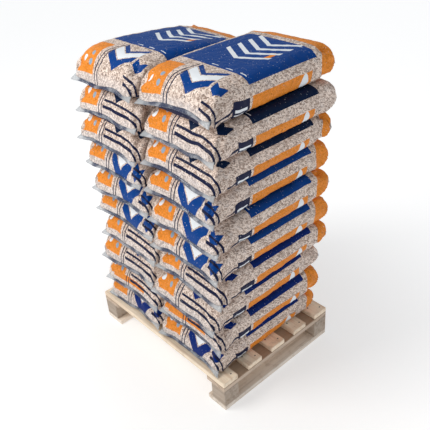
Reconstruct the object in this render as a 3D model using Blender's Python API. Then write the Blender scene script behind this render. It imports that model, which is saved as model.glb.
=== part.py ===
# Half pallet of wood-pellet sacks: four-block timber pallet with two columns of ten plastic-film sacks.
# Metres, +Z up. The origin is on the floor under the middle of the pallet.
# +X runs along the deck boards, -Y is the face with the two sack ends.

import math
from collections import namedtuple

import bmesh
import bpy

# Pallet
PALLET_LENGTH = 0.800
PALLET_DEPTH = 0.600
BOARD_THICKNESS = 0.022
BLOCK_HEIGHT = 0.078
BLOCK_SIDE = 0.075
DECK_BOARD_WIDTH = 0.075
DECK_BOARD_COUNT = 5
CROSS_BOARD_WIDTH = 0.100
SAWN_EDGE = 0.002
CONTACT_GAP = 0.0003

# Sacks
SACK_WIDTH = 0.360
SACK_LENGTH = 0.600
LAYER_PITCH = 0.1134
TOP_SACK_HEIGHT = 0.122

# How a side of a sack curves: the share of its height where it is fullest, how far it is pulled in from
# there at the underside and at the top, and how square its curve up to the top is.
Bulge = namedtuple("Bulge", "fullest below above squareness")
UNDERSIDE_SQUARENESS = 4.0
PRESSED_SACK = {
    "sides": Bulge(0.50, 0.049, 0.049, 4.0),
    "front": Bulge(0.17, 0.030, 0.067, 1.6),
    "back": Bulge(0.45, 0.038, 0.042, 5.0),
}
TOP_SACK = {
    "sides": Bulge(0.50, 0.060, 0.065, 4.0),
    "front": Bulge(0.17, 0.035, 0.085, 1.6),
    "back": Bulge(0.45, 0.045, 0.058, 4.5),
}

# The corners of a sack stand out as ears where it is fullest, and grow rounder above and below.
EAR_REACH = 0.012
EAR_SQUARENESS = 6
CORNER_LEAST = 0.026
CORNER_GROWTH = 0.055
CORNER_STEPS = 4
END_STEPS = 8

# The welded seal across each end, and the shares of the height between which it leaves the sack
SEAL_LENGTH = 0.014
SEAL_DROP = 0.012
SEAL_WIDTH = 0.320
FRONT_SEAL = (0.15, 0.19)
BACK_SEAL = (0.43, 0.47)
RING_SHARES = [0.0, 0.02, 0.07, *FRONT_SEAL, *BACK_SEAL, 0.55, 0.70, 0.82, 0.91, 0.97, 1.0]
SHARP_ANGLE = math.radians(50)

# The top left sack is slack: from this line on, it sinks more and more towards its back end.
SLUMP_START = -0.150
SLUMP_REACH = 0.450
SLUMP_SHARE = 0.48
SLUMP_CUTS = (-0.10, -0.02, 0.06, 0.13, 0.20)

# Where the middle of each sack lies, from the bottom layer up: x, y, turn in degrees and stretch in length.
LEFT_COLUMN = [
    (-0.190, -0.004, 0.3, 0.96),
    (-0.168, -0.009, -0.4, 0.98),
    (-0.176, -0.002, 0.2, 1.0),
    (-0.158, 0.012, 0.5, 1.0),
    (-0.166, 0.014, -0.3, 1.0),
    (-0.152, 0.004, 0.4, 1.0),
    (-0.163, 0.002, -0.2, 1.0),
    (-0.153, -0.013, 0.3, 1.0),
    (-0.138, -0.004, -0.4, 1.0),
    (-0.152, 0.010, 0.2, 1.0),
]
RIGHT_COLUMN = [
    (0.180, -0.006, -0.2, 0.96),
    (0.198, 0.000, 0.3, 0.97),
    (0.195, -0.010, -0.3, 1.0),
    (0.211, 0.016, 0.2, 1.0),
    (0.216, 0.008, -0.4, 1.0),
    (0.222, 0.006, 0.2, 1.0),
    (0.210, 0.014, -0.2, 1.0),
    (0.220, 0.012, 0.4, 1.0),
    (0.232, 0.018, -0.3, 1.0),
    (0.218, 0.024, 0.4, 1.0),
]

WOOD_COLOUR = (0.62, 0.47, 0.33, 1.0)
SACK_COLOUR = (0.60, 0.49, 0.40, 1.0)

BLOCK_BOTTOM = BOARD_THICKNESS
CROSS_BOTTOM = BLOCK_BOTTOM + BLOCK_HEIGHT
DECK_BOTTOM = CROSS_BOTTOM + BOARD_THICKNESS
DECK_TOP = DECK_BOTTOM + BOARD_THICKNESS


def clear_scene():
    for item in list(bpy.data.objects):
        bpy.data.objects.remove(item, do_unlink=True)


def principled(name, colour, roughness):
    material = bpy.data.materials.new(name)
    material.use_nodes = True
    shader = material.node_tree.nodes["Principled BSDF"]
    shader.inputs["Base Color"].default_value = colour
    shader.inputs["Roughness"].default_value = roughness
    shader.inputs["Metallic"].default_value = 0.0
    return material


def add_object(name, mesh, material, parent=None):
    item = bpy.data.objects.new(name, mesh)
    bpy.context.scene.collection.objects.link(item)
    if not mesh.materials:
        mesh.materials.append(material)
    item.parent = parent
    return item


def add_timber(name, size, centre, material, parent):
    """A sawn piece with its long edges taken off; it stays clear of its neighbours by the contact gap."""
    mesh = bpy.data.meshes.new(name)
    shape = bmesh.new()
    bmesh.ops.create_cube(shape, size=1.0)
    length, depth, height = size
    bmesh.ops.scale(shape, vec=(length, depth, height - CONTACT_GAP), verts=shape.verts)
    bmesh.ops.bevel(
        shape, geom=list(shape.edges), offset=SAWN_EDGE, segments=1, affect="EDGES"
    )
    shape.to_mesh(mesh)
    shape.free()
    timber = add_object(name, mesh, material, parent)
    timber.location = centre
    return timber


def build_pallet(wood):
    root = bpy.data.objects.new("pallet", None)
    bpy.context.scene.collection.objects.link(root)
    end_x = (PALLET_LENGTH - CROSS_BOARD_WIDTH) / 2
    block_x = (PALLET_LENGTH - BLOCK_SIDE) / 2
    block_y = (PALLET_DEPTH - BLOCK_SIDE) / 2
    deck_reach = (PALLET_DEPTH - DECK_BOARD_WIDTH) / 2
    cross_size = (CROSS_BOARD_WIDTH, PALLET_DEPTH, BOARD_THICKNESS)
    block_size = (BLOCK_SIDE, BLOCK_SIDE, BLOCK_HEIGHT)
    deck_size = (PALLET_LENGTH, DECK_BOARD_WIDTH, BOARD_THICKNESS)
    for side, sign in (("left", -1), ("right", 1)):
        add_timber(
            f"bottom_board_{side}", cross_size, (sign * end_x, 0, BOARD_THICKNESS / 2), wood, root
        )
        add_timber(
            f"cross_board_{side}",
            cross_size,
            (sign * end_x, 0, CROSS_BOTTOM + BOARD_THICKNESS / 2),
            wood,
            root,
        )
        for place, along in (("front", -1), ("back", 1)):
            centre = (sign * block_x, along * block_y, BLOCK_BOTTOM + BLOCK_HEIGHT / 2)
            add_timber(f"block_{place}_{side}", block_size, centre, wood, root)
    for number in range(DECK_BOARD_COUNT):
        y = -deck_reach + 2 * deck_reach * number / (DECK_BOARD_COUNT - 1)
        centre = (0, y, DECK_BOTTOM + BOARD_THICKNESS / 2)
        add_timber(f"deck_board_{number + 1}", deck_size, centre, wood, root)


def away_from_fullest(share, bulge):
    """Nought where the film is fullest, and one at the underside and the top."""
    if share < bulge.fullest:
        return (bulge.fullest - share) / bulge.fullest
    return (share - bulge.fullest) / (1 - bulge.fullest)


def pulled_in(share, bulge):
    """How far the film is in from its fullest line at a share of the sack's height."""
    away = away_from_fullest(share, bulge)
    if share < bulge.fullest:
        return bulge.below * (1 - math.sqrt(1 - away ** UNDERSIDE_SQUARENESS))
    return bulge.above * (1 - math.sqrt(1 - away ** bulge.squareness))


def end_line(share, half_x, bulge):
    """Points across the -Y end from its left side round both corners to its right side."""
    away = away_from_fullest(share, bulge)
    half_y = SACK_LENGTH / 2 - EAR_REACH - pulled_in(share, bulge)
    radius = CORNER_LEAST + CORNER_GROWTH * away ** 3
    left_corner = []
    for step in range(CORNER_STEPS + 1):
        angle = math.radians(180 + 90 * step / CORNER_STEPS)
        x = radius - half_x + radius * math.cos(angle)
        y = radius - half_y + radius * math.sin(angle)
        left_corner.append((x, y))
    straight = [
        ((half_x - radius) * (2 * step / END_STEPS - 1), -half_y) for step in range(1, END_STEPS)
    ]
    right_corner = [(-x, y) for x, y in reversed(left_corner)]
    ear = EAR_REACH * (1 - away) ** 2
    return [
        (x, y - ear * (abs(x) / half_x) ** EAR_SQUARENESS) for x, y in left_corner + straight + right_corner
    ]


def sack_outline(share, bulges):
    """The sack's plan at a share of its height, counter-clockwise from the front of its left side."""
    half_x = SACK_WIDTH / 2 - pulled_in(share, bulges["sides"])
    front = end_line(share, half_x, bulges["front"])
    back = end_line(share, half_x, bulges["back"])
    return front + [(-x, -y) for x, y in back]


def draw_out_seal(shape, height, end, shares):
    """Draws the faces between two shares of the height at one end (-1 front, 1 back) out to a seal."""
    seal_faces = []
    for face in shape.faces:
        middle = face.calc_center_median()
        at_end = end * middle.y > SACK_LENGTH / 2 - 2 * EAR_REACH and abs(middle.x) < SEAL_WIDTH / 2
        if at_end and shares[0] < middle.z / height < shares[1]:
            seal_faces.append(face)
    grown = bmesh.ops.extrude_face_region(shape, geom=seal_faces)
    corners = [item for item in grown["geom"] if isinstance(item, bmesh.types.BMVert)]
    bmesh.ops.translate(shape, verts=corners, vec=(0, end * SEAL_LENGTH, -SEAL_DROP))
    bmesh.ops.delete(shape, geom=seal_faces, context="FACES")


def slump(shape):
    """Lets a slack sack sink towards its back end, after cuts across it that let its long faces bend."""
    for y in SLUMP_CUTS:
        everything = [*shape.verts, *shape.edges, *shape.faces]
        bmesh.ops.bisect_plane(shape, geom=everything, plane_co=(0, y, 0), plane_no=(0, 1, 0))
    for vertex in shape.verts:
        beyond = max(0, vertex.co.y - SLUMP_START) / SLUMP_REACH
        vertex.co.z *= 1 - SLUMP_SHARE * beyond ** 2


def sack_mesh(name, height, bulges, slack=False):
    """A full pillow with ears at its corners and a thin welded seal across each end."""
    shape = bmesh.new()
    rings = []
    for share in RING_SHARES:
        outline = sack_outline(share, bulges)
        rings.append([shape.verts.new((x, y, share * height)) for x, y in outline])
    for lower, upper in zip(rings, rings[1:]):
        for index in range(len(lower)):
            after = (index + 1) % len(lower)
            shape.faces.new((lower[index], lower[after], upper[after], upper[index]))
    shape.faces.new(list(reversed(rings[0])))
    shape.faces.new(rings[-1])
    draw_out_seal(shape, height, -1, FRONT_SEAL)
    draw_out_seal(shape, height, 1, BACK_SEAL)
    if slack:
        slump(shape)
    bmesh.ops.recalc_face_normals(shape, faces=shape.faces)
    mesh = bpy.data.meshes.new(name)
    shape.to_mesh(mesh)
    shape.free()
    mesh.shade_smooth()
    mesh.set_sharp_from_angle(angle=SHARP_ANGLE)
    return mesh


def build_sacks(film):
    root = bpy.data.objects.new("load", None)
    bpy.context.scene.collection.objects.link(root)
    top_layer = len(LEFT_COLUMN) - 1
    pressed = sack_mesh("pressed_sack", LAYER_PITCH - CONTACT_GAP, PRESSED_SACK)
    top_sacks = {
        "left": sack_mesh("slack_top_sack", TOP_SACK_HEIGHT, TOP_SACK, slack=True),
        "right": sack_mesh("full_top_sack", TOP_SACK_HEIGHT, TOP_SACK),
    }
    for side, column in (("left", LEFT_COLUMN), ("right", RIGHT_COLUMN)):
        for layer, (x, y, turn, stretch) in enumerate(column):
            mesh = top_sacks[side] if layer == top_layer else pressed
            sack = add_object(f"sack_{side}_{layer + 1:02d}", mesh, film, root)
            sack.location = (x, y, DECK_TOP + CONTACT_GAP + layer * LAYER_PITCH)
            sack.rotation_euler = (0, 0, math.radians(turn))
            sack.scale = (1, stretch, 1)


def main():
    clear_scene()
    build_pallet(principled("pallet_wood", WOOD_COLOUR, 0.8))
    build_sacks(principled("sack_film", SACK_COLOUR, 0.35))
    bpy.context.view_layer.update()


main()
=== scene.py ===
import math

import bpy
import numpy as np
from mathutils import Matrix, Vector, noise
from mathutils.bvhtree import BVHTree


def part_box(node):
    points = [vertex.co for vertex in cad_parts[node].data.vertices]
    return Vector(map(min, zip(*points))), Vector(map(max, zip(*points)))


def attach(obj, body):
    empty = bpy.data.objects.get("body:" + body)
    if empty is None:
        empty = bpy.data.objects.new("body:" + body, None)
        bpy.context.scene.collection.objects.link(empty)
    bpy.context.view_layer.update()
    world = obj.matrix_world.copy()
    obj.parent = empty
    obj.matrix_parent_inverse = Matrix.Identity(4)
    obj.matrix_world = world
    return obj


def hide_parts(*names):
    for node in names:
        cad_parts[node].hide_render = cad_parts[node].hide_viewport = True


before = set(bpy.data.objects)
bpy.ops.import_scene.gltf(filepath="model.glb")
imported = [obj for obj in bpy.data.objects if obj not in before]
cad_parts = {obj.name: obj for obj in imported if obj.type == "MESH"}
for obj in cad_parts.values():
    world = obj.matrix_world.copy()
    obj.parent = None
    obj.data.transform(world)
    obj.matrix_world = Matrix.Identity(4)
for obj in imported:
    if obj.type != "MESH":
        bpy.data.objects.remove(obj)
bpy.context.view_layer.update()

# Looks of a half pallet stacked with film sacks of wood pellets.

# Camera, fitted to the pallet's corners in a square 430-pixel photograph
CAMERA_PLACE = Vector((1.648, -1.325, 1.936))
CAMERA_AZIMUTH = math.radians(49.99)
CAMERA_ELEVATION = math.radians(32.63)
CAMERA_ROLL = math.radians(-4.52)
CAMERA_FOCAL = 620.3 / 430
SENSOR_WIDTH = 36.0

# The flat film bag, and the press that it fills
FILM_WIDTH = 0.425
FILM_LENGTH = 0.625
FRONT_CORNER = 0.048
BACK_CORNER = 0.060
SEAL_DEPTH = 0.013
CELLS_ACROSS = 40
CELLS_ALONG = 56
SEAL_ROWS = 2
SEAL_THICKNESS = 0.0007
PLATE_MARGIN = 0.0035
SIMULATED_FRAMES = 30

# The stack
COLUMNS = ("left", "right")
LAYERS = 10
LAYER_PITCH = 0.1134
FRONT_SEAL_SHARE = 0.17
BACK_SEAL_SHARE = 0.45
END_ZONE = 0.120
FULLNESS = 0.52
DRAWN_TIMES = 3
EVENING_TIMES = 8
WAVE_HEIGHT = 0.0022
DENT_HEIGHT = 0.0040
DENT_SPACING = 0.070
LUMP_HEIGHT = 0.0011
LUMP_SPACING = 0.016
CORNER_FOLD = 0.0058
CORNER_FOLD_COUNT = 9
CORNER_DENT = 0.016
FRONT_EAR_SPREAD = 0.8
BACK_EAR_SPREAD = 0.25
FRONT_EAR_DROOP = 36.0
BACK_EAR_DROOP = 62.0
BACK_EAR_LENGTH = 0.05
CALMING_TIMES = 8
CALM_ROWS = 1.6
SEAM_ZONE = 0.022
SEAL_RIPPLE = 0.0020
COLUMN_GAP = 0.0012
LAYER_GAP = 0.0003
SOLID_SEAL_REACH = 0.014


# Camera, light and floor


def add_camera():
    data = bpy.data.cameras.new("camera")
    data.sensor_width = SENSOR_WIDTH
    data.lens = CAMERA_FOCAL * SENSOR_WIDTH
    camera = bpy.data.objects.new("camera", data)
    bpy.context.scene.collection.objects.link(camera)
    flat = math.cos(CAMERA_ELEVATION)
    back = Vector(
        (math.sin(CAMERA_AZIMUTH) * flat, -math.cos(CAMERA_AZIMUTH) * flat, math.sin(CAMERA_ELEVATION))
    )
    level = (-back).cross(Vector((0, 0, 1))).normalized()
    upright = level.cross(-back)
    right = math.cos(CAMERA_ROLL) * level + math.sin(CAMERA_ROLL) * upright
    up = -math.sin(CAMERA_ROLL) * level + math.cos(CAMERA_ROLL) * upright
    turn = Matrix((right, up, back)).transposed().to_4x4()
    camera.matrix_world = Matrix.Translation(CAMERA_PLACE) @ turn
    bpy.context.scene.camera = camera


def add_soft_light(name, place, target, size, watts):
    data = bpy.data.lights.new(name, "AREA")
    data.shape = "SQUARE"
    data.size = size
    data.energy = watts
    data.color = (1.0, 0.965, 0.92)
    light = bpy.data.objects.new(name, data)
    bpy.context.scene.collection.objects.link(light)
    light.location = place
    light.rotation_euler = (Vector(target) - Vector(place)).to_track_quat("-Z", "Y").to_euler()


def add_light():
    world = bpy.data.worlds.new("studio")
    world.use_nodes = True
    background = world.node_tree.nodes["Background"]
    background.inputs["Color"].default_value = (0.94, 0.97, 1.0, 1.0)
    background.inputs["Strength"].default_value = 0.52
    bpy.context.scene.world = world
    add_soft_light("front_box", (-0.9, -2.1, 2.9), (0, 0, 1.0), 1.5, 62)


def shade_floor(tree, glow):
    """The floor glows a little so that it looks white and casts few shadows; the glow is dimmer under the stack than
    around it, a painted soft shadow round its base.
    """
    place = Field(tree, tree.nodes.new("ShaderNodeNewGeometry").outputs["Position"])
    distance = tree.nodes.new("ShaderNodeVectorMath")
    distance.operation = "LENGTH"
    plug(tree, place, distance.inputs[0])
    plug(tree, Field(tree, distance.outputs["Value"]).ramp(0.45, 1.50, 0.46, 0.64), glow)


def add_floor():
    mesh = bpy.data.meshes.new("floor")
    half = 8.0
    mesh.from_pydata(
        [(-half, -half, 0), (half, -half, 0), (half, half, 0), (-half, half, 0)], [], [(0, 1, 2, 3)]
    )
    floor = bpy.data.objects.new("floor", mesh)
    bpy.context.scene.collection.objects.link(floor)
    material = bpy.data.materials.new("floor")
    material.use_nodes = True
    shader = material.node_tree.nodes["Principled BSDF"]
    shader.inputs["Base Color"].default_value = (0.62, 0.62, 0.62, 1)
    shader.inputs["Roughness"].default_value = 0.9
    shader.inputs["Emission Color"].default_value = (1, 1, 1, 1)
    shade_floor(material.node_tree, shader.inputs["Emission Strength"])
    mesh.materials.append(material)
    bpy.context.scene.view_settings.view_transform = "Standard"


# Materials: numbers that vary over a surface, written as arithmetic


class Field:
    """One output of a material's nodes. Arithmetic on it adds Math nodes."""

    def __init__(self, tree, socket):
        self.tree = tree
        self.socket = socket

    def math(self, operation, *others):
        node = self.tree.nodes.new("ShaderNodeMath")
        node.operation = operation
        for socket, value in zip(node.inputs, (self, *others)):
            plug(self.tree, value, socket)
        return Field(self.tree, node.outputs[0])

    def __add__(self, other):
        return self.math("ADD", other)

    def __sub__(self, other):
        return self.math("SUBTRACT", other)

    def __mul__(self, other):
        return self.math("MULTIPLY", other)

    def __truediv__(self, other):
        return self.math("DIVIDE", other)

    def __gt__(self, other):
        return self.math("GREATER_THAN", other)

    def __lt__(self, other):
        return self.math("LESS_THAN", other)

    def size(self):
        return self.math("ABSOLUTE")

    def largest(self, other):
        return self.math("MAXIMUM", other)

    def least(self, other):
        return self.math("MINIMUM", other)

    def outside(self):
        """One where this mask is nought."""
        return (self * -1.0) + 1.0

    def between(self, low, high):
        return (self > low) * (self < high)

    def ramp(self, low, high, start=0.0, end=1.0):
        """Rises smoothly from start to end as this goes from low to high."""
        node = self.tree.nodes.new("ShaderNodeMapRange")
        node.interpolation_type = "SMOOTHSTEP"
        for name, value in (("From Min", low), ("From Max", high), ("To Min", start), ("To Max", end)):
            node.inputs[name].default_value = value
        plug(self.tree, self, node.inputs["Value"])
        return Field(self.tree, node.outputs["Result"])


def plug(tree, value, socket):
    if isinstance(value, Field):
        tree.links.new(value.socket, socket)
    else:
        socket.default_value = value


class Finish:
    """A Principled material and the nodes that vary it."""

    def __init__(self, name):
        self.material = bpy.data.materials.new(name)
        self.material.use_nodes = True
        self.tree = self.material.node_tree
        self.shader = self.tree.nodes["Principled BSDF"]

    def node(self, kind, **settings):
        made = self.tree.nodes.new("ShaderNode" + kind)
        for name, value in settings.items():
            setattr(made, name, value)
        return made

    def field(self, socket):
        return Field(self.tree, socket)

    def set(self, name, value):
        plug(self.tree, value, self.shader.inputs[name])

    def vector(self, x, y, z=0.0):
        made = self.node("CombineXYZ")
        for socket, value in zip(made.inputs, (x, y, z)):
            plug(self.tree, value, socket)
        return self.field(made.outputs[0])

    def parts(self, vector):
        made = self.node("SeparateXYZ")
        plug(self.tree, vector, made.inputs[0])
        return [self.field(socket) for socket in made.outputs]

    def noise(self, vector, scale, detail=2.0, roughness=0.5):
        made = self.node("TexNoise")
        plug(self.tree, vector, made.inputs["Vector"])
        made.inputs["Scale"].default_value = scale
        made.inputs["Detail"].default_value = detail
        made.inputs["Roughness"].default_value = roughness
        return self.field(made.outputs["Fac"])

    def mix(self, share, first, second):
        made = self.node("Mix", data_type="RGBA")
        plug(self.tree, share, made.inputs[0])
        plug(self.tree, first, made.inputs[6])
        plug(self.tree, second, made.inputs[7])
        return self.field(made.outputs[2])

    def shade(self, colour, amount):
        """A colour made lighter or darker by a field around one."""
        made = self.node("VectorMath", operation="SCALE")
        plug(self.tree, colour if isinstance(colour, Field) else colour[:3], made.inputs[0])
        plug(self.tree, amount, made.inputs["Scale"])
        return self.field(made.outputs[0])

    def bump(self, height, depth, strength=1.0, below=None):
        made = self.node("Bump")
        made.inputs["Strength"].default_value = strength
        made.inputs["Distance"].default_value = depth
        plug(self.tree, height, made.inputs["Height"])
        if below is not None:
            plug(self.tree, below, made.inputs["Normal"])
        return self.field(made.outputs[0])


# Sack film: pellets behind clear film, with printed panels

PELLET_LAYERS = 4
PELLET_SPACING = 0.0080
PELLET_RADIUS = 0.0027
PELLET_HALF_LENGTH = 0.0066

PELLET_GAP_SHADE = (0.100, 0.064, 0.050, 1)
PELLET_DARK = (0.35, 0.250, 0.200, 1)
PELLET_PALE = (0.87, 0.730, 0.640, 1)
# Milky film colour, also used for painted glints on the sacks and seals
HAZE_AND_GLINT = (0.66, 0.67, 0.71, 1)
ORANGE_INK = (0.83, 0.255, 0.012, 1)
PALE_INK = (0.80, 0.84, 0.88, 1)
NAVY_INK = (0.010, 0.013, 0.045, 1)
SEAL_NAVY = (0.020, 0.035, 0.10, 1)
CLEAR_SEAL = (0.56, 0.59, 0.62, 1)
GREY_INK = (0.28, 0.38, 0.48, 1)
BLUE_TONES = {
    "bright": (0.0, 0.046, 0.235, 1),
    "night": (0.0, 0.010, 0.044, 1),
    "deep": (0.0, 0.018, 0.155, 1),
}


def film_place(finish):
    """Where a point lies on the flat film: round the sack from the top's middle, and from the front seal."""
    place = finish.node("UVMap", uv_map="film")
    round_sack, along, _ = finish.parts(finish.field(place.outputs[0]))
    return round_sack, along, number_of(finish, "sack_seed")


def number_of(finish, name):
    """A number that each sack's mesh carries."""
    return finish.field(finish.node("Attribute", attribute_name=name).outputs["Fac"])


def walked_place(finish):
    """Where a point lies on the film as it was pulled over the pellets, so that none of them looks drawn out."""
    place = finish.node("UVMap", uv_map="walked")
    return finish.parts(finish.field(place.outputs[0]))[:2]


def pellets(finish, u, v, seed):
    """Height and tone of short rods lying at all angles, as several sheets of scattered rods, highest on top."""
    best = None
    for sheet in range(PELLET_LAYERS):
        spot = finish.vector(u + seed * (1.0 + sheet), v + 0.37 * sheet)
        cells = finish.node("TexVoronoi", voronoi_dimensions="2D")
        plug(finish.tree, spot, cells.inputs["Vector"])
        cells.inputs["Scale"].default_value = 1 / PELLET_SPACING
        away = finish.node("VectorMath", operation="SUBTRACT")
        plug(finish.tree, spot, away.inputs[0])
        finish.tree.links.new(cells.outputs["Position"], away.inputs[1])
        chance = finish.parts(finish.field(cells.outputs["Color"]))
        turn = finish.node("VectorRotate", rotation_type="Z_AXIS")
        finish.tree.links.new(away.outputs[0], turn.inputs["Vector"])
        plug(finish.tree, chance[0] * math.tau, turn.inputs["Angle"])
        across, along, _ = finish.parts(finish.field(turn.outputs[0]))
        offset = across / PELLET_RADIUS
        crown = ((offset * offset) * -1.0 + 1.0).largest(0.0).math("SQRT")
        length = along.size() / PELLET_HALF_LENGTH
        whole = length < (chance[1] * 0.45 + 0.55)
        height = crown * whole * (chance[2] * 0.5 + 0.5)
        if best is None:
            best, tone = height, chance[1]
        else:
            over = height > best
            tone = tone + over * (chance[1] - tone)
            best = best.largest(height)
    return best, tone


def line(value, middle, half_width):
    return (value - middle).size() < half_width


def slanted_lines(u, v, places, half_width):
    """Thin parallel lines that lean across the film, each starting from its place along the seal."""
    lines = None
    for place in places:
        drawn = line(u - v * 0.15, place, half_width)
        lines = drawn if lines is None else lines.largest(drawn)
    return lines


def nested_vees(u, v, centre, half_width, levels):
    """Vee-shaped bars, one inside the other; levels gives each bar's lower and upper edge."""
    across = (u - centre[0]).size()
    height = (v - centre[1]) - across * 0.65
    bars = None
    for low, high in levels:
        bar = height.between(low, high)
        bars = bar if bars is None else bars.largest(bar)
    return bars * (across < half_width)


def disc(u, v, centre, radius):
    across = u - centre[0]
    along = v - centre[1]
    return (across * across + along * along) < radius * radius


def block(u, v, u_range, v_range):
    return u.between(*u_range) * v.between(*v_range)


def chevrons(u, v, centre, half_width, pitch, count, thickness):
    """Broad arrow-shaped bars across the panel."""
    slope = (v - centre[1]) - (u - centre[0]).size() * 0.55
    bars = None
    for number in range(count):
        bar = line(slope, pitch * (number - (count - 1) / 2), thickness / 2)
        bars = bar if bars is None else bars.largest(bar)
    return bars * ((u - centre[0]).size() < half_width)


def orange_ink(finish, u, v):
    """The far end, a stripe on each side, a patch on the front and, on some sacks, an edge above the seal."""
    far_band = ((v - number_of(finish, "band_shift")) > 0.535) * (v < 0.606)
    stripes = block(u, v, (0.214, 0.252), (0.195, 0.480)).largest(block(u, v, (0.598, 0.636), (0.195, 0.480)))
    patch = block(u, v, (-0.172, -0.066), (0.010, 0.140))
    edge = block(u, v, (-0.150, 0.095), (0.006, 0.019)) * number_of(finish, "orange_edge")
    return far_band.largest(stripes).largest(patch).largest(edge)


def blue_ink(u, v, vee_place):
    panel = block(u, v, (-0.150, 0.196), (0.185, 0.505))
    big_vees = nested_vees(u, vee_place, (0.055, 0.090), 0.072, ((-0.054, -0.020), (0.026, 0.046)))
    small_vees = nested_vees(u, vee_place, (0.163, 0.085), 0.024, ((-0.020, 0.012),))
    return panel, panel.largest(big_vees).largest(small_vees)


def navy_ink(u, v, start):
    """Thin lines on the front, a tag on the side and a strip under the front."""
    leaning = slanted_lines(u, v, (-0.052, -0.034), 0.0028) * (v < 0.170)
    along_seal = line(v, 0.030, 0.0031).largest(line(v, 0.014, 0.0031)) * (u > start) * (u < 0.240)
    riser = line(u, 0.238, 0.0026).largest(line(u, 0.224, 0.0026)) * v.between(0.030, 0.112)
    under_strip = block(u, v, (0.290, 0.6375), (0.0, 0.022))
    tag = block(u, v, (0.214, 0.252), (0.112, 0.183))
    return leaning.largest(along_seal).largest(riser).largest(under_strip).largest(tag)


def pale_ink(u, v, vee_place, panel):
    """Marks with no lettering."""
    pale = chevrons(u, v, (0.020, 0.365), 0.105, 0.052, 4, 0.019) * panel
    dashes = (u * 90.0).math("SINE") > 0.1
    pale = pale.largest(dashes * line(v, 0.198, 0.0022) * u.between(-0.02, 0.17))
    pale = pale.largest(nested_vees(u, vee_place, (0.055, 0.090), 0.072, ((-0.015, 0.021),)))
    pale = pale.largest(disc(u, v, (0.233, 0.440), 0.019))
    pale = pale.largest(disc(u, v, (0.617, 0.440), 0.019))
    pale = pale.largest(disc(u, v, (-0.148, 0.046), 0.012))
    tag_bars = block(u, v, (0.224, 0.230), (0.122, 0.173)).largest(block(u, v, (0.236, 0.242), (0.122, 0.160)))
    return pale.largest(tag_bars)


def sack_film(name, blue):
    finish = Finish(name)
    u, v, seed = film_place(finish)
    walked_u, walked_v = walked_place(finish)
    height, tone = pellets(finish, walked_u, walked_v, seed)
    film_spot = finish.vector(walked_u, walked_v, seed)
    drift = finish.noise(film_spot, 9.0, 2.0)
    fine = finish.noise(film_spot, 330.0, 1.0)
    wood = finish.mix(tone.ramp(0.10, 0.85), PELLET_DARK, PELLET_PALE)
    wood = finish.shade(wood, (fine * 0.40 + 0.80) * (drift * 0.24 + 0.88))
    # Painted shade: the rods are drawn darker where their round sides fall away, and dark in the gaps between them
    base = finish.mix(height.ramp(0.10, 0.50), PELLET_GAP_SHADE, wood)

    # Film that stands clear of the pellets is milky: near the seals and in drifting patches
    near_seal = v.ramp(0.0, 0.022, 1.0, 0.0).largest(v.ramp(FILM_LENGTH - 0.026, FILM_LENGTH))
    haze = (finish.noise(film_spot, 40.0, 3.0).ramp(0.50, 0.80) * 0.24 + near_seal * 0.28).least(1.0)
    base = finish.mix(haze, base, HAZE_AND_GLINT)

    # Thin orange ink lets the pellets show through, drawn darker over the low gaps between the rods: painted shade
    through = finish.shade(ORANGE_INK, height * 0.36 + tone * 0.22 + 0.56)
    orange = orange_ink(finish, u, v)
    base = finish.mix(orange * 0.95, base, through)

    # The blue, navy and pale inks are solid
    vee_place = v - number_of(finish, "vee_shift")
    panel, blues = blue_ink(u, v, vee_place)
    base = finish.mix(blues, base, blue)
    navy = navy_ink(u, v, number_of(finish, "line_start"))
    base = finish.mix(navy, base, NAVY_INK)
    accent = block(u, v, (0.098, 0.116), (0.335, 0.395))
    base = finish.mix(accent, base, ORANGE_INK)
    pale = pale_ink(u, v, vee_place, panel)
    base = finish.mix(pale, base, PALE_INK)
    grey = disc(u, v, (-0.094, 0.034), 0.009).largest(disc(u, v, (-0.094, 0.062), 0.009))
    base = finish.mix(grey, base, GREY_INK)

    # Painted glints: pale specks mixed into the colour, and fine creases
    ink = blues.largest(pale).largest(navy)
    glint_specks = finish.noise(finish.vector(walked_u * 0.7, walked_v, seed), 190.0, 2.0, 0.6).ramp(0.68, 0.73)
    base = finish.mix(glint_specks * 0.8, base, HAZE_AND_GLINT)
    creases = finish.noise(finish.vector(walked_u * 2.2, walked_v * 0.8, seed), 30.0, 4.0, 0.62)
    grain = height * ink.ramp(0.0, 1.0, 1.0, 0.22)
    finish.set("Base Color", base)
    finish.set("Roughness", 0.45)
    finish.set("Normal", finish.bump(creases, 0.004, 0.35, finish.bump(grain, 0.0016, 0.7)))
    finish.set("Coat Weight", ink.largest(orange).ramp(0.0, 1.0, 0.25, 0.10))
    finish.set("Coat Roughness", 0.16)
    finish.set("Coat IOR", 1.5)
    sheen_relief = finish.bump(grain, 0.0007, 0.5)
    finish.set("Coat Normal", finish.bump(creases, 0.006, 0.55, sheen_relief))
    finish.set("Specular IOR Level", 0.05)
    return finish.material


def seal_film(name):
    """Two welded sheets of film with fine ribs across, navy from the strip behind and clear at the ears."""
    finish = Finish(name)
    u, v, seed = film_place(finish)
    ribs = (v * (math.tau / 0.0022)).math("SINE")
    creases = finish.noise(finish.vector(u, v * 2.0, seed), 22.0, 3.0)
    drift = finish.noise(finish.vector(u, seed, 0.0), 14.0, 2.0) * 0.10 - 0.05
    clear_ends = (u + drift).size().ramp(0.135, 0.175)
    navy = clear_ends.outside() * (v < 0.3) * creases.ramp(0.40, 0.62, 1.0, 0.45)
    glints = creases.ramp(0.54, 0.70)
    clear = finish.mix(glints, CLEAR_SEAL, HAZE_AND_GLINT)
    finish.set("Base Color", finish.mix(navy, clear, SEAL_NAVY))
    finish.set("Roughness", 0.22)
    finish.set("Alpha", (glints * 0.20 + navy * 0.40 + clear_ends * 0.20 + 0.35).least(0.85))
    finish.set("Normal", finish.bump(ribs * 0.25 + creases * 2.0, 0.0015, 0.6))
    finish.set("Coat Weight", 0.5)
    finish.set("Coat Roughness", 0.1)
    return finish.material


# Sacks: flat film bags blown up between two plates


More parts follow.
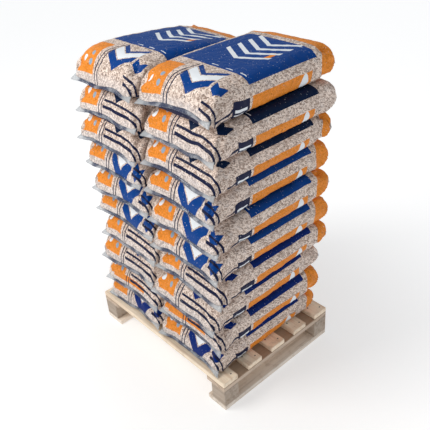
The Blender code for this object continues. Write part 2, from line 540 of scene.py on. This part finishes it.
def rounded(x, y):
    """Moves a point of the rectangular film, measured from its middle, so that the film's corners are round."""
    radius = FRONT_CORNER if y < 0 else BACK_CORNER
    over_x = (abs(x) - (FILM_WIDTH / 2 - radius)) / radius
    over_y = (abs(y) - (FILM_LENGTH / 2 - radius)) / radius
    if over_x > 0 and over_y > 0:
        drawn_x = over_x * math.sqrt(1 - over_y ** 2 / 2)
        drawn_y = over_y * math.sqrt(1 - over_x ** 2 / 2)
        x = math.copysign(FILM_WIDTH / 2 + radius * (drawn_x - 1), x)
        y = math.copysign(FILM_LENGTH / 2 + radius * (drawn_y - 1), y)
    return x, y


def bag_place(row, column):
    """Where a vertex lies on the flat film, from its middle. The seal fills the rectangle's corners."""
    x = FILM_WIDTH * (column / CELLS_ACROSS - 0.5)
    inner_row = min(max(row, 0), CELLS_ALONG)
    place = Vector(rounded(x, FILM_LENGTH * (inner_row / CELLS_ALONG - 0.5)))
    into_seal = abs(row - inner_row) / SEAL_ROWS
    spread = FRONT_EAR_SPREAD if place.y < 0 else BACK_EAR_SPREAD
    outer_x = place.x + spread * (x - place.x)
    outer_y = abs(place.y) + SEAL_DEPTH + spread * (FILM_LENGTH / 2 - abs(place.y))
    return place.lerp(Vector((outer_x, math.copysign(outer_y, place.y))), into_seal)


def bag_rows():
    """Row by row, the vertex numbers of the top and bottom sheets, and every vertex's place on flat film."""
    places = []
    tops = []
    bottoms = []
    for row in range(-SEAL_ROWS, CELLS_ALONG + SEAL_ROWS + 1):
        top = []
        bottom = []
        for column in range(CELLS_ACROSS + 1):
            place = bag_place(row, column)
            top.append(len(places))
            places.append(place)
            if 0 < row < CELLS_ALONG and 0 < column < CELLS_ACROSS:
                bottom.append(len(places))
                places.append(place)
            else:
                bottom.append(top[-1])
        tops.append(top)
        bottoms.append(bottom)
    return np.array(places), np.array(tops), np.array(bottoms)


PLACES, TOPS, BOTTOMS = bag_rows()
BODY_ROWS = range(SEAL_ROWS, SEAL_ROWS + CELLS_ALONG)
BODY_ROW_SPAN = slice(SEAL_ROWS, SEAL_ROWS + CELLS_ALONG + 1)
BODY_RING = np.concatenate((TOPS[BODY_ROW_SPAN], BOTTOMS[BODY_ROW_SPAN, -2:0:-1]), axis=1)
SEAL_ROW_STARTS = [*range(SEAL_ROWS), *range(SEAL_ROWS + CELLS_ALONG, 2 * SEAL_ROWS + CELLS_ALONG)]


def sheet_faces(rows, grid, facing_up):
    faces = []
    for row in rows:
        near, far = grid[row], grid[row + 1]
        for column in range(CELLS_ACROSS):
            corners = (near[column], near[column + 1], far[column + 1], far[column])
            faces.append(corners if facing_up else corners[::-1])
    return faces


def add_plate(name, height, facing_up):
    half = 0.5
    corners = [(-half, -half, height), (half, -half, height), (half, half, height), (-half, half, height)]
    mesh = bpy.data.meshes.new(name)
    mesh.from_pydata(corners, [], [(0, 1, 2, 3) if facing_up else (3, 2, 1, 0)])
    plate = bpy.data.objects.new(name, mesh)
    bpy.context.scene.collection.objects.link(plate)
    plate.modifiers.new("press", "COLLISION")
    plate.collision.thickness_outer = 0.002
    plate.collision.cloth_friction = 0.0
    return plate


def blow_up_bag(name, height, pressure, seed):
    """Cloth simulation of a flat bag filled until it presses on plates below and above."""
    chance = np.random.RandomState(seed)
    inner = (BOTTOMS != TOPS)
    start = np.zeros((len(PLACES), 3))
    start[:, :2] = PLACES
    start[:, 2] = height / 2
    start[TOPS[inner], 2] += 0.004 + 0.003 * chance.rand(inner.sum())
    start[BOTTOMS[inner], 2] -= 0.004 + 0.003 * chance.rand(inner.sum())
    all_rows = range(CELLS_ALONG + 2 * SEAL_ROWS)
    faces = sheet_faces(all_rows, TOPS, True) + sheet_faces(BODY_ROWS, BOTTOMS, False)
    mesh = bpy.data.meshes.new(name)
    mesh.from_pydata(start.tolist(), [], [[int(v) for v in face] for face in faces])
    bag = bpy.data.objects.new(name, mesh)
    bpy.context.scene.collection.objects.link(bag)
    filled = bag.vertex_groups.new(name="filled")
    filled.add(np.unique(BODY_RING).tolist(), 1.0, "REPLACE")
    plates = [add_plate("lower_plate", 0.0, True), add_plate("upper_plate", height, False)]
    cloth = bag.modifiers.new("film", "CLOTH")
    film = cloth.settings
    film.quality = 5
    film.mass = 0.15
    film.tension_stiffness = 40
    film.compression_stiffness = 40
    film.shear_stiffness = 20
    film.bending_stiffness = 0.05
    film.use_pressure = True
    film.uniform_pressure_force = pressure
    film.vertex_group_pressure = "filled"
    film.effector_weights.gravity = 0.0
    cloth.collision_settings.distance_min = 0.002
    cloth.collision_settings.use_self_collision = False
    cloth.point_cache.frame_end = SIMULATED_FRAMES
    for step in range(1, SIMULATED_FRAMES + 1):
        bpy.context.scene.frame_set(step)
    evaluated = bag.evaluated_get(bpy.context.evaluated_depsgraph_get())
    shape = np.empty(len(PLACES) * 3)
    evaluated.data.vertices.foreach_get("co", shape)
    for item in (bag, *plates):
        bpy.data.objects.remove(item, do_unlink=True)
    shape = shape.reshape(-1, 3)
    bpy.context.scene.frame_set(1)
    shape[:, 2] = (shape[:, 2] - PLATE_MARGIN) / (height - 2 * PLATE_MARGIN)
    shape[:, 2] = shape[:, 2].clip(0, 1) * height
    return shape


def mirrored(shape, across, along):
    """The same blown-up shape the other way round, with the print still in its place."""
    turned = shape.copy()
    rows = slice(None, None, -1 if along else 1)
    columns = slice(None, None, -1 if across else 1)
    for grid in (TOPS, BOTTOMS):
        turned[grid] = shape[grid[rows, columns]]
    if across:
        turned[:, 0] *= -1
    if along:
        turned[:, 1] *= -1
    return turned


def walked_distances(shape):
    """How far each ring vertex lies along the pulled film, round the sack from the top's middle and from the front.

    Each row has one column more than the ring, to end where it began with the whole way round.
    """
    ring = shape[BODY_RING]
    ring = np.concatenate((ring, ring[:, :1]), axis=1)
    around = np.linalg.norm(np.diff(ring, axis=1), axis=2)
    around = np.concatenate((np.zeros((len(ring), 1)), np.cumsum(around, axis=1)), axis=1)
    around -= around[:, CELLS_ACROSS // 2, None]
    along = np.linalg.norm(np.diff(ring, axis=0), axis=2)
    along = np.concatenate((np.zeros((1, ring.shape[1])), np.cumsum(along, axis=0)), axis=0)
    return np.stack((around, along), axis=2)


def add_walked_map(mesh, shape, faces, wraps, vertices):
    """A second UV map in metres of pulled film, which the pellets under it follow."""
    distances = walked_distances(shape)
    top = np.zeros((len(PLACES), 2))
    bottom = np.zeros((len(PLACES), 2))
    top[TOPS[BODY_ROW_SPAN]] = distances[:, :CELLS_ACROSS + 1]
    bottom[BOTTOMS[BODY_ROW_SPAN]] = distances[:, :CELLS_ACROSS - 1:-1]
    walked = mesh.uv_layers.new(name="walked")
    places = [(bottom if wrap else top)[int(vertex)] for face, wrap in zip(faces, wraps) for vertex in face]
    walked.data.foreach_set("uv", np.array(places).ravel())


def part_mesh(name, shape, faces, wraps, sharp_rows=(), thickness=0.0):
    """A mesh of some of the bag's faces, subdivided once, with its film places as a UV map."""
    used = sorted({int(v) for face in faces for v in face})
    renumber = {old: new for new, old in enumerate(used)}
    mesh = bpy.data.meshes.new(name)
    mesh.from_pydata(shape[used].tolist(), [], [[renumber[int(v)] for v in face] for face in faces])
    film = mesh.uv_layers.new(name="film")
    corner = 0
    for face, wrap in zip(faces, wraps):
        for vertex in face:
            x, y = PLACES[int(vertex)]
            film.data[corner].uv = (FILM_WIDTH - x if wrap else x, y + FILM_LENGTH / 2)
            corner += 1
    add_walked_map(mesh, shape, faces, wraps, used)
    sharp = {renumber[int(v)] for row in sharp_rows for v in TOPS[row]}
    crease = mesh.attributes.new("crease_edge", "FLOAT", "EDGE")
    for edge in mesh.edges:
        crease.data[edge.index].value = float(sharp.issuperset(edge.vertices))
    item = bpy.data.objects.new(name, mesh)
    bpy.context.scene.collection.objects.link(item)
    finer = item.modifiers.new("finer", "SUBSURF")
    finer.levels = 1
    finer.render_levels = 1
    finer.boundary_smooth = "PRESERVE_CORNERS"
    if thickness:
        sheet = item.modifiers.new("sheet", "SOLIDIFY")
        sheet.thickness = thickness
        sheet.offset = 0.0
    evaluated = item.evaluated_get(bpy.context.evaluated_depsgraph_get())
    finished = bpy.data.meshes.new_from_object(evaluated)
    item.modifiers.clear()
    item.data = finished
    bpy.data.meshes.remove(mesh)
    return item


def smooth_step(value):
    value = np.clip(value, 0, 1)
    return value * value * (3 - 2 * value)


def gentle_waves(points):
    """How far the whole stack's layers rise and dip, the same for every sack that meets there."""
    x, y, z = points.T
    wave = np.sin(7.0 * x + 5.0 * z + 0.6) * np.sin(6.0 * y - 9.0 * z + 1.1)
    wave += 0.6 * np.sin(13.0 * x - 11.0 * z) * np.cos(11.0 * y + 7.0 * z)
    return WAVE_HEIGHT * wave * smooth_step((z - 0.15) / 0.2)


def settle(shape, height):
    """Presses a blown-up bag into its layer, full up to its edges and with its seals low on the ends."""
    x, y, z = shape.T
    middle = np.clip(2 * z / height - 1, -1, 1)
    share = 0.5 + 0.5 * np.sign(middle) * np.abs(middle) ** FULLNESS
    end = smooth_step((np.abs(y) - (FILM_LENGTH / 2 - END_ZONE)) / END_ZONE)
    seal_share = np.where(y < 0, FRONT_SEAL_SHARE, BACK_SEAL_SHARE)
    lowering = 1 + (np.log(seal_share) / math.log(0.5) - 1) * end
    return np.column_stack((x, y, height * share ** lowering))


def stretch_to_solid(bag, low, high):
    """Moves a settled bag to its solid's place and gives it the solid's length and width."""
    body = bag[BODY_RING.ravel()]
    reach = np.array([high[0] - low[0], high[1] - low[1] - 2 * SOLID_SEAL_REACH])
    size = body[:, :2].max(axis=0) - body[:, :2].min(axis=0)
    middle = (body[:, :2].max(axis=0) + body[:, :2].min(axis=0)) / 2
    placed = bag.copy()
    placed[:, :2] = (bag[:, :2] - middle) * reach / size
    return placed + ((low[0] + high[0]) / 2, (low[1] + high[1]) / 2, low[2])


def evened(steps):
    """Evens out steps over the bag, so that they change its outline and not its wrinkles."""
    opposite = -np.arange(2 * CELLS_ACROSS) % (2 * CELLS_ACROSS)
    for _ in range(EVENING_TIMES):
        padded = np.concatenate((steps[:1], steps, steps[-1:]))
        steps = steps + np.roll(steps, 1, axis=1) + np.roll(steps, -1, axis=1) + padded[:-2] + padded[2:]
        steps /= 5
        for seam in (0, -1):
            steps[seam] = (steps[seam] + steps[seam, opposite]) / 2
    return steps


def draw_to_solid(bag, node):
    """Gives a bag its solid's outline, and keeps the wrinkles of its film."""
    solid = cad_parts[node]
    corners = [solid.matrix_world @ vertex.co for vertex in solid.data.vertices]
    surface = BVHTree.FromPolygons(corners, [face.vertices for face in solid.data.polygons])
    drawn = bag.copy()
    for _ in range(DRAWN_TIMES):
        points = drawn[BODY_RING]
        nearest = [surface.find_nearest(Vector(point))[0] for point in points.reshape(-1, 3).tolist()]
        drawn[BODY_RING] = points + evened(np.array(nearest).reshape(points.shape) - points)
    return drawn


def reach_neighbour(bag, low, high, touch):
    """Widens the half of a sack that faces the other column until the two meet."""
    middle = (low[0] + high[0]) / 2
    edge = high[0] if touch > middle else low[0]
    inner = (bag[:, 0] > middle) == (touch > middle)
    stretch = (abs(touch - middle) - COLUMN_GAP / 2) / abs(edge - middle)
    bag[inner, 0] = middle + (bag[inner, 0] - middle) * stretch


def calm_seams(bag):
    """Straightens the film beside the seals, which hold it flat."""
    ring = bag[BODY_RING]
    smooth = ring
    for _ in range(CALMING_TIMES):
        smooth = (smooth + np.roll(smooth, 1, axis=1) + np.roll(smooth, -1, axis=1)) / 3
    rows = np.arange(len(ring))
    from_seal = np.minimum(rows, rows[::-1])
    columns = np.arange(2 * CELLS_ACROSS) % CELLS_ACROSS
    from_side = np.minimum(columns, CELLS_ACROSS - columns)
    share = np.exp(-from_seal / CALM_ROWS)[:, None] * smooth_step(from_side / 6)[None, :]
    bag[BODY_RING] = ring + (smooth - ring) * share[:, :, None]


def hang_seals(settled, front_droop, back_droop, phase):
    """Sets each seal as a strip on its settled edge, turned down by an angle in degrees, with free or tucked ears."""
    hung = settled.copy()
    front = (range(SEAL_ROWS), SEAL_ROWS, front_droop, FRONT_EAR_DROOP, 1.0)
    back = (range(-SEAL_ROWS, 0), -SEAL_ROWS - 1, back_droop, BACK_EAR_DROOP, BACK_EAR_LENGTH)
    for rows, edge_row, droop, ear_droop, ear_length in (front, back):
        edge = TOPS[edge_row]
        ear = smooth_step((np.abs(PLACES[edge, 0]) / (FILM_WIDTH / 2) - 0.80) / 0.16)
        lean = np.radians(droop + (ear_droop - droop) * ear)
        for row in rows:
            across, along = (PLACES[TOPS[row]] - PLACES[edge]).T * (1 + (ear_length - 1) * ear)
            reach = np.abs(along)
            ripple = reach / SEAL_DEPTH * SEAL_RIPPLE * np.sin(PLACES[edge, 0] * 46.0 + phase)
            hung[TOPS[row], 0] = settled[edge, 0] + across
            hung[TOPS[row], 1] = settled[edge, 1] + along * np.cos(lean)
            hung[TOPS[row], 2] = settled[edge, 2] + ripple - reach * np.sin(lean)
    return hung


def film_places(mesh):
    """Each vertex's distance along and across the flat film from the nearest corner."""
    corners = np.empty(len(mesh.loops) * 2)
    mesh.uv_layers["film"].data.foreach_get("uv", corners)
    vertices = np.empty(len(mesh.loops), dtype=int)
    mesh.loops.foreach_get("vertex_index", vertices)
    places = np.empty((len(mesh.vertices), 2))
    places[vertices] = corners.reshape(-1, 2)
    u, v = places.T
    x = np.where(u > FILM_WIDTH / 2, FILM_WIDTH - u, u)
    return FILM_WIDTH / 2 - np.abs(x), np.minimum(v, FILM_LENGTH - v), np.sign(x) + 2 * (v > FILM_LENGTH / 2)


def corner_creases(mesh, seed):
    """Folds that fan out from the bag's corners, with a dent pushed in beside each."""
    across, along, corner = film_places(mesh)
    away = np.hypot(across, along)
    angle = np.arctan2(along, across)
    chance = np.sin(12.9 * seed + 4.1 * corner)
    fan = np.sin(CORNER_FOLD_COUNT * angle + 3 * chance) * np.exp(-((away - 0.05) / 0.045) ** 2)
    dent = np.exp(-((away - 0.075) / 0.022) ** 2 - ((angle - 0.75 - 0.3 * chance) / 0.30) ** 2)
    return CORNER_FOLD * fan - CORNER_DENT * (0.6 + 0.4 * chance) * dent


def lumps(mesh, seed, low, high):
    """Dents between fistfuls of pellets, and the small bumps of the pellets under the film."""
    mesh.update()
    normals = np.empty(len(mesh.vertices) * 3)
    mesh.vertex_normals.foreach_get("vector", normals)
    points = read_points(mesh)
    share = (points[:, 2] - low) / (high - low)
    free = smooth_step(share / 0.12) * smooth_step((1 - share) / 0.10)
    shift = Vector((seed, 2.3 * seed, 0.0))
    seam = smooth_step(film_places(mesh)[1] / SEAM_ZONE)
    depth = np.empty(len(points))
    for number, point in enumerate(points.tolist()):
        place = Vector(point)
        dent = noise.noise(place / DENT_SPACING + shift)
        lump = noise.noise(place / LUMP_SPACING + shift)
        depth[number] = DENT_HEIGHT * dent * free[number] + LUMP_HEIGHT * lump
    depth += corner_creases(mesh, seed) * free
    depth *= seam
    write_points(mesh, points + normals.reshape(-1, 3) * depth[:, None])


def write_points(mesh, points):
    mesh.vertices.foreach_set("co", points.ravel())
    mesh.update()


def read_points(mesh):
    points = np.empty(len(mesh.vertices) * 3)
    mesh.vertices.foreach_get("co", points)
    return points.reshape(-1, 3)


def add_number(mesh, name, value):
    number = mesh.attributes.new(name, "FLOAT", "POINT")
    number.data.foreach_set("value", [value] * len(mesh.vertices))


def add_sack(side, layer, shape, bag_height, touch, films):
    """One sack: its bag drawn to its solid, split into the full body and the two seals."""
    node = f"sack_{side}_{layer:02d}"
    low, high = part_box(node)
    number = layer + (LAYERS if side == "right" else 0)
    height = high[2] - low[2]
    seed = 0.713 * number
    shape = mirrored(shape, number % 2 == 1, number % 3 == 1)
    shape[:, 2] *= height / bag_height
    bag = draw_to_solid(stretch_to_solid(settle(shape, height), low, high), node)
    calm_seams(bag)
    bag[:, 2] = bag[:, 2].clip(low[2] + LAYER_GAP, high[2] - LAYER_GAP)
    reach_neighbour(bag, low, high, touch)
    front_droop = 60 + 12 * math.sin(1.7 * number)
    back_droop = 38 + 16 * math.sin(2.3 * number)
    bag = hang_seals(bag, front_droop, back_droop, seed)
    bag[:, 2] += gentle_waves(bag)
    body_faces = sheet_faces(BODY_ROWS, TOPS, True) + sheet_faces(BODY_ROWS, BOTTOMS, False)
    half = len(body_faces) // 2
    edge_rows = (SEAL_ROWS, SEAL_ROWS + CELLS_ALONG)
    body = part_mesh(f"film_{node}", bag, body_faces, [False] * half + [True] * half, edge_rows)
    lumps(body.data, seed, low[2], high[2])
    fin_faces = sheet_faces(SEAL_ROW_STARTS, TOPS, True)
    fins = part_mesh(f"seals_{node}", bag, fin_faces, [False] * len(fin_faces), thickness=SEAL_THICKNESS)
    for item, film in zip((body, fins), films):
        add_number(item.data, "sack_seed", seed)
        add_number(item.data, "vee_shift", VEE_SHIFT.get(layer, 0.0))
        add_number(item.data, "line_start", -0.022 if layer in FULL_LINE_LAYERS else 0.135)
        add_number(item.data, "band_shift", BAND_SHIFT.get(layer, 0.0))
        add_number(item.data, "orange_edge", 1.0 if layer == ORANGE_EDGE_LAYER else 0.0)
        item.data.shade_smooth()
        item.data.materials.append(film)
        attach(item, "root")
    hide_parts(node)


VEE_SHIFT = {1: -0.056, 5: -0.062, 6: -0.056, 7: -0.063, 8: -0.004, 9: -0.004, 10: -0.008}
BAND_SHIFT = {1: 0.020, 3: 0.070, 4: 0.020, 8: 0.030, 9: 0.070}
ORANGE_EDGE_LAYER = 2
FULL_LINE_LAYERS = (2, 3, 4, 8, 9)
# The blue print is drawn darkest on layers 8 and 9, lightest on layers 5 to 7 and 10, and between these on layers 1
# to 4
BLUE_BY_LAYER = {10: "bright", 9: "night", 8: "night", 7: "bright", 6: "bright", 5: "bright"}


def add_sacks():
    films = {name: sack_film(f"sack_film_{name}", blue) for name, blue in BLUE_TONES.items()}
    clear = seal_film("seal_film")
    pressed = []
    pressures = ((12.0, 9.0, 15.0, 11.0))
    for number, pressure in enumerate(pressures):
        pressed.append(blow_up_bag("bag", LAYER_PITCH, pressure, 11 + number))
    domed = blow_up_bag("bag", 0.130, 9.0, 31)
    for side in COLUMNS:
        for layer in range(1, LAYERS + 1):
            if layer == LAYERS:
                shape, height = domed, 0.130
            else:
                shape, height = pressed[(3 * layer + len(side)) % len(pressed)], LAYER_PITCH
            blue = BLUE_BY_LAYER.get(layer, "deep")
            touch = (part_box(f"sack_left_{layer:02d}")[1][0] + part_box(f"sack_right_{layer:02d}")[0][0]) / 2
            add_sack(side, layer, shape, height, touch, (films[blue], clear))


# Timber


# Pale and darker grain of each kind of piece
TIMBER_TONES = {
    "deck": ((0.96, 0.81, 0.63, 1), (0.76, 0.58, 0.42, 1)),
    "cross": ((0.60, 0.48, 0.38, 1), (0.44, 0.33, 0.25, 1)),
    "block": ((0.46, 0.38, 0.31, 1), (0.30, 0.235, 0.185, 1)),
    "bottom": ((0.90, 0.80, 0.70, 1), (0.68, 0.58, 0.48, 1)),
}
STAIN_AND_SHADE = (0.36, 0.24, 0.155, 1)
NAIL_COLOUR = (0.10, 0.09, 0.085, 1)
NAIL_RADIUS = 0.0032
NAIL_INSET = 0.038
NAIL_SPREAD = 0.020


def nail_heads(finish, place, name):
    """Round heads where a deck board crosses the boards under it."""
    low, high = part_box(name)
    x, y, _ = finish.parts(place)
    middle = (low[1] + high[1]) / 2
    heads = None
    for end_x in (low[0] + NAIL_INSET, high[0] - NAIL_INSET):
        for side in (-1, 1):
            head = disc(x, y, (end_x + side * 0.016, middle + side * NAIL_SPREAD), NAIL_RADIUS)
            heads = head if heads is None else heads.largest(head)
    return heads


def timber(name, along, tone, seed):
    """Sawn softwood with its grain along one axis: 0 is X and 1 is Y."""
    finish = Finish(f"timber_{name}")
    kind = name.split("_")[0]
    pale, warm = TIMBER_TONES[kind]
    geometry = finish.node("NewGeometry")
    place = finish.field(geometry.outputs["Position"])
    facing = finish.parts(finish.field(geometry.outputs["Normal"]))
    axes = finish.parts(place)
    length = axes[along] + seed
    across = axes[1 - along]
    height = axes[2]
    grain_spot = finish.vector(length * 1.2, across * 22.0 + seed * 3.0, height * 22.0)
    streaks = finish.noise(grain_spot, 3.0, 6.0, 0.6)
    fibres = finish.noise(finish.vector(length * 6.0, across * 160.0, height * 160.0), 4.0, 3.0, 0.6)
    patches = finish.noise(finish.vector(length, across, height), 7.0, 3.0)
    base = finish.mix(streaks.ramp(0.42, 0.70), pale, warm)
    base = finish.shade(base, (fibres * 0.40 + 0.80) * (patches * 0.4 + 0.8) * tone)
    grime = finish.noise(finish.vector(length, across, height), 26.0, 4.0, 0.65).ramp(0.50, 0.78)
    base = finish.mix(grime * 0.45, base, STAIN_AND_SHADE)
    # The cross boards' tops, seen only in the gaps under the deck boards, are stained dark: partly dirt, partly
    # painted shade
    if kind == "cross":
        base = finish.mix((facing[2] > 0.5) * 0.75, base, STAIN_AND_SHADE)
    if kind == "deck":
        base = finish.mix(nail_heads(finish, place, name) * (facing[2] > 0.5), base, NAIL_COLOUR)
    finish.set("Base Color", base)
    finish.set("Roughness", 0.82)
    finish.set("Specular IOR Level", 0.25)
    finish.set("Normal", finish.bump(streaks * 0.6 + fibres, 0.0012, 0.5))
    return finish.material


def finish_timber():
    for number, (name, node) in enumerate(sorted(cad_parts.items())):
        if not name.startswith("sack"):
            along = 0 if name.startswith(("deck", "block")) else 1
            tone = 1.0 + 0.06 * math.sin(2.1 * number)
            node.data.materials.clear()
            node.data.materials.append(timber(name, along, tone, 0.37 * number))


add_camera()
add_light()
add_floor()
add_sacks()
finish_timber()
